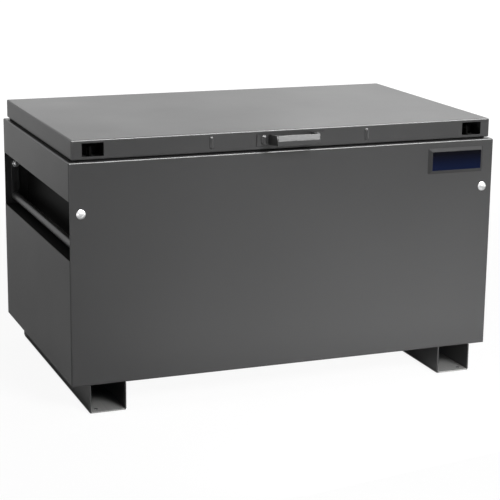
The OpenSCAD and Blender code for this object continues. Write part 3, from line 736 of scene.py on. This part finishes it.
# %% Gas struts
def gas_strut(side):
    """The tube from the foot's pivot, and the rod from inside it to the eye under the lid."""
    foot = Vector(JOINTS[side + "_strut_turn"]["pos_m"])
    along = Vector(JOINTS[side + "_strut_slide"]["axis"]).normalized()
    lid_eye_y = sum(c[1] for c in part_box(side + "_strut_hanger")) / 2
    length = (lid_eye_y - foot.y) / along.y
    head = foot + along * length
    pin = (1, 0, 0)
    piece(side + "_tube", [turned(tube_profile(), foot, along, closed=True), eye(foot, pin),
                           shank(foot, along)],
          "strut_enamel", side + "_strut_tube", [side + "_strut_cylinder"])
    start, piston = TUBE_START + PISTON_AT, STRUT_R - STRUT_WALL - 0.0001
    rod = [(piston, start), (piston, start + END_WALL), (ROD_R, start + END_WALL),
           (ROD_R, length - EYE_R - SHANK_L)]
    piece(side + "_rod", [turned(rod, foot, along), eye(head, pin), shank(head, -along)],
          "rod_chrome", side + "_strut_piston", [side + "_strut_rod"])
    print(side, "strut is", round(length, 4), "m from eye to eye")


for side in SIDES:
    gas_strut(side)

# %% [markdown]
# ## Softened edges
#
# Sheared plate has a small radius on its edges once it is deburred and coated, and that radius is
# what catches the light. The plain solids come as loose triangles, so a copy is merged, its flat
# faces are joined again, and a Bevel modifier rounds the sharp edges only. The skids take their
# finish with painted light at the mouths here. The padlock staples are painted near-black as
# painted shade, for the shade inside their pockets, where they hardly show.

# %% A merged copy of a plain solid
def merged(node):
    """The points and flat faces of a copy of a plain solid, with its triangles joined again."""
    work = bmesh.new()
    work.from_mesh(frame["nodes"][node].data)
    bmesh.ops.remove_doubles(work, verts=work.verts, dist=1e-6)
    bmesh.ops.dissolve_limit(work, angle_limit=math.radians(0.5), verts=work.verts,
                             edges=work.edges, delimit=set())
    work.verts.index_update()
    points = np.array([v.co for v in work.verts])
    faces = [np.array([v.index for v in face.verts]) for face in work.faces]
    work.free()
    return points, faces


print("the lid handle merges to", len(merged("lid_handle")[1]), "faces")


# %% Soften the edges of plates
# The staples are painted near-black: painted shade, for the shade inside the lock pockets.
STAPLE_PAINTED_SHADE, STAPLE_ROUGH, STAPLE_GLOSS = (0.005, 0.005, 0.005), 0.50, 1.15
staple_black = powder_coat("staple_black", STAPLE_PAINTED_SHADE, STAPLE_ROUGH, STAPLE_GLOSS)


def softened(node, radius, finish=None):
    """A merged copy whose edges of more than 40 degrees are rounded to the radius."""
    made = piece("soft_" + node, [merged(node)], SLOT_OF[node], BODY_OF[node], [node],
                 finish=finish)
    bevel = made.modifiers.new("edge", "BEVEL")
    bevel.width, bevel.segments, bevel.limit_method = radius, 2, "ANGLE"
    bevel.angle_limit, bevel.harden_normals = math.radians(40), True


STAMPED, SHEARED, ROLLED = 0.0005, 0.0008, 0.0010
EDGES = {"lid_handle": SHEARED, "left_handle_arms": SHEARED, "right_handle_arms": SHEARED,
         "left_strut_foot": STAMPED, "right_strut_foot": STAMPED}
for node, radius in EDGES.items():
    softened(node, radius)
for side in SIDES:
    softened(side + "_skid", ROLLED, skid_coat_painted_light)
    softened(side + "_lock_staple", SHEARED, staple_black)

# %% [markdown]
# ## Folds that shade as curves
#
# A press brake leaves a 5 mm radius on every fold, and each fold shows a bright line where it
# turns through the lamp. The plain solids hold a fold as a few flat strips, which would break
# that line. Here the normals across a fold are blended, weighted by the area of the faces that
# meet, so the big faces stay flat and only the fold turns.

# %% Blend the folds
def folded(node):
    """A merged copy whose normals are weighted by the area of the faces that meet."""
    made = piece("folded_" + node, [merged(node)], SLOT_OF[node], BODY_OF[node], [node])
    blend = made.modifiers.new("fold", "WEIGHTED_NORMAL")
    blend.mode, blend.keep_sharp = "FACE_AREA", True


FOLDED = ["lid_shell", "front_panel", "back_panel", "hinge_chest_leaf", "hinge_lid_leaf",
          "hinge_pin", "pivot_spacers"]
FOLDED += [side + "_" + part for side in SIDES
           for part in ("upper_side", "lower_side", "recess_pan", "lock_pocket", "stiffener",
                        "handle_grip", "strut_hanger")]
for node in FOLDED:
    folded(node)

# %% [markdown]
# ## Welds
#
# The skids are stitched to the chest's floor by short fillet welds, and the staples' feet by
# smaller ones. A bead is a quarter-round that swells in overlapping ripples, one for each dip of
# the wire. Ripples drawn by a bump alone would vanish at its outline, so they are in the shape.
# The coat goes over the welds, so they share its finish.

# %% A weld bead
RIPPLE, RIPPLE_SHARE, ROOT = 0.0022, 0.08, 0.0002


def weld(start, end, wall, floor, size):
    """A quarter-round along a line, between the directions wall and floor.

    Its radius is size times an end taper, sqrt(1 - (2 s - 1)^8), times a ripple of 8%, a cosine
    of the distance that lags towards the middle of the round. The root is sunk into the corner.
    """
    start, end, wall, floor = (np.array(v, float) for v in (start, end, wall, floor))
    length = np.linalg.norm(end - start)
    s = np.linspace(0.002, 0.998, max(12, int(length / RIPPLE * 6)))[:, None]
    t = np.linspace(0, 1, 7)[None, :]
    wave = np.cos(2 * math.pi * (s * length / RIPPLE - 0.5 * np.sin(math.pi * t)))
    radius = size * np.sqrt(1 - (2 * s - 1) ** 8) * (1 + RIPPLE_SHARE * wave)
    angle = t * math.pi / 2
    arc = ((radius * np.cos(angle))[..., None] * floor
           + (radius * np.sin(angle))[..., None] * wall)
    root = np.zeros_like(arc[:, :1]) - (wall + floor) * ROOT
    line = start + s[..., None] * (end - start)
    return skin(line + np.concatenate([arc, root], 1))


# %% Weld the skids and staples
SKID_WELD, STAPLE_WELD, STAPLE_CORNER = 0.0035, 0.0022, 0.003


def stitches(x, out, low_y, high_y, z, count=5, length=0.045):
    """Evenly spaced stitches along Y at x, where a skid's wall, facing out, meets the floor."""
    middles = np.linspace(low_y + length, high_y - length, count)
    return [weld((x, m - length / 2, z), (x, m + length / 2, z), (0, 0, -1), (out, 0, 0),
                 SKID_WELD)
            for m in middles]


chest_welds = []
for side in SIDES:
    low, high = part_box(side + "_skid")
    for x, out in ((low[0], -1), (high[0], 1)):
        chest_welds += stitches(x, out, low[1], high[1], high[2])
    low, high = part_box(side + "_lock_staple")
    for x, out in ((low[0], -1), (high[0], 1)):
        chest_welds.append(weld((x, low[1] + STAPLE_CORNER, low[2]),
                                (x, high[1] - STAPLE_CORNER, low[2]),
                                (0, 0, 1), (out, 0, 0), STAPLE_WELD))
piece("chest_welds", chest_welds, "chest_paint", "chest", crease=60.0)

# %% [markdown]
# ## Studio floor and room
#
# The floor and the room are white to the camera and to shiny surfaces, and dimmed as light, so
# the chest isn't flooded from every side. The floor keeps a share of its own shading, which
# leaves the chest's shadow on it. A white floor lit by strong lamps would look the same, but
# would wash out the dark coat. Three places differ. In the shade beneath the chest nothing shiny
# sees the white. Right under the skids the camera doesn't see it either, so the bolt holes stay
# dark. Far behind, the floor is brighter to shiny surfaces, as a lit sweep of paper is.

# %% What a ray sees
def ray_share(f, camera, gloss):
    """camera for rays that draw the background, gloss for reflected ones, 0 for the rest."""
    path = f.add("LightPath").socket.node
    direct = Wire(f, path.outputs["Is Camera Ray"]).larger(
        Wire(f, path.outputs["Is Transmission Ray"]))
    return (direct * camera).larger(Wire(f, path.outputs["Is Glossy Ray"]) * gloss)


# %% Floor
WHITE = (1, 1, 1, 1)
SKID_MIDDLE, SKID_HALF = sum(corner[0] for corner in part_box("right_skid")) / 2, 0.050
SKID_FADE = 0.002
# Where the shade beneath the chest ends and is full, in |x| and in |y|
SHADE_X, SHADE_Y = (0.62, 0.56), (0.48, 0.36)
# Where the far floor starts and is full: as a distance squared, and as a y behind the chest
FAR, BEHIND = (2.0, 14.0), (1.6, 4.2)


def white_floor(half, camera, gloss, far_gloss, strength):
    """Share x glow + (1 - share) x a matt pale grey.

    For the camera, share rises from camera near the chest to 1 far from it, and is 0 under the
    skids. For mirrors it is gloss + far_gloss behind, and 0 beneath the chest.
    """
    f = Finish("floor_white")
    grain = f.noise(6.0)
    far = (f.axis("X") * f.axis("X") + f.axis("Y") * f.axis("Y")).ramp(*FAR)
    behind = f.axis("Y").ramp(*BEHIND)
    out, along = f.axis("X").size(), f.axis("Y").size()
    under = ((out - SKID_MIDDLE).size().ramp(SKID_HALF, SKID_HALF - SKID_FADE)
             * along.ramp(SKID_END, SKID_END - SKID_FADE))
    beneath = out.ramp(*SHADE_X) * along.ramp(*SHADE_Y)
    mirrored = (gloss + behind * far_gloss) * (1.0 - beneath)
    share = ray_share(f, camera + far * (1.0 - camera), mirrored) * (1.0 - under)
    matt = f.add("BsdfDiffuse", values={"Color": f.blend(grain, (0.53,) * 3, (0.57,) * 3)})
    glow = f.add("Emission", values={"Color": WHITE, "Strength": strength})
    mixed = f.add("MixShader", values={0: share, 1: matt, 2: glow})
    f.add("OutputMaterial", values={"Surface": mixed})
    mesh = bpy.data.meshes.new("studio_floor")
    mesh.from_pydata([(-half, -half, 0), (half, -half, 0), (half, half, 0), (-half, half, 0)],
                     [], [(0, 1, 2, 3)])
    mesh.materials.append(f.owner)
    floor = bpy.data.objects.new("studio_floor", mesh)
    bpy.context.scene.collection.objects.link(floor)


white_floor(half=40.0, camera=0.85, gloss=0.16, far_gloss=0.26, strength=1.10)
print("the floor is dark under the skids,", round(SKID_MIDDLE, 3), "m to either side")


# %% Room
def white_room(light, gloss):
    """White to the camera, gloss to mirrors, and light to matt surfaces."""
    room = Tree(bpy.data.worlds.new("studio_room"))
    level = ray_share(room, 1.0, gloss).larger(light)
    back = room.add("Background", values={"Color": WHITE, "Strength": level})
    room.add("OutputWorld", values={"Surface": back})
    bpy.context.scene.world = room.owner


white_room(light=0.04, gloss=0.72)
bpy.context.scene.view_settings.view_transform = "Standard"
print("world:", bpy.context.scene.world.name)

# %% [markdown]
# ## Lamps and cards
#
# A glossy coat shows a lamp as a white patch, so the two jobs of a lamp are kept apart. A lamp
# that isn't mirrored lights the chest, and glossy surfaces don't show its shape. A card is only
# mirrored: folds, bolt heads and the grip show it as a bright line, and it lights nothing else.
# One kind of lamp for both jobs would glare on the lid as soon as it is seen from behind.

# %% Lamps and cards
# Whether a lamp is seen in glossy surfaces, and whether it lights matt ones
LAMP, CARD, BOTH = (False, True), (True, False), (True, True)
STUDIO = [
    # The main light, from the front, and its image in the dome heads
    ("key_lamp", LAMP, (1.3, -4.7, 3.3), (0.0, -0.3, 0.45), (1.9, 1.9), 245.0),
    ("key_card", CARD, (1.3, -4.7, 3.3), (0.0, -0.3, 0.45), (2.2, 2.2), 50.0),
    # The image on the sloping face of the lid's grip
    ("grip_card", CARD, (2.2, -4.5, 4.0), (0.0, -0.42, 0.71), (1.3, 1.0), 85.0),
    # The lid's top, which mirrors what stands behind it
    ("back_card", BOTH, (1.5, 2.6, 1.25), (0.4, 0.0, 0.7), (4.0, 1.2), 5.0),
    ("top_lamp", BOTH, (1.6, 1.6, 2.3), (0.3, 0.0, 0.7), (1.8, 1.8), 10.0),
    # The bright lines along the lid's front fold and the chest's rim
    ("fold_card", CARD, (0.8, -1.12, 3.08), (0.8, -0.37, 0.70), (4.0, 1.1), 345.0),
    # Light that a pale floor throws up on the front panel
    ("bounce_lamp", LAMP, (0.45, -0.95, 0.03), (0.35, -0.37, 0.15), (1.4, 0.4), 11.0),
    # The back and the left side
    ("rear_lamp", LAMP, (1.4, 4.6, 0.55), (0.0, 0.3, 0.4), (2.4, 0.9), 75.0),
    ("left_lamp", LAMP, (-2.6, -0.3, 1.1), (-0.6, 0.0, 0.4), (1.0, 1.0), 6.0),
    # The folds at the chest's front corners and the sides of the lid's beads
    ("corner_card", CARD, (-2.3, -1.3, 0.4), (-0.6, -0.37, 0.4), (1.6, 0.8), 6.0),
    ("right_card", CARD, (3.0, -1.0, 0.4), (0.4, -0.37, 0.6), (1.2, 0.7), 7.0),
]


def soft_lamp(name, kind, place, aim, size, power):
    """A flat lamp whose face is turned from its place towards the point that it lights."""
    data = bpy.data.lights.new(name, "AREA")
    data.shape, data.energy = "RECTANGLE", power
    data.size, data.size_y = size
    lamp = bpy.data.objects.new(name, data)
    turn = (Vector(aim) - Vector(place)).to_track_quat("-Z", "Y")
    lamp.matrix_world = Matrix.Translation(place) @ turn.to_matrix().to_4x4()
    lamp.visible_glossy, lamp.visible_diffuse = kind
    bpy.context.scene.collection.objects.link(lamp)


for row in STUDIO:
    soft_lamp(*row)
print(len(STUDIO), "lamps and cards")
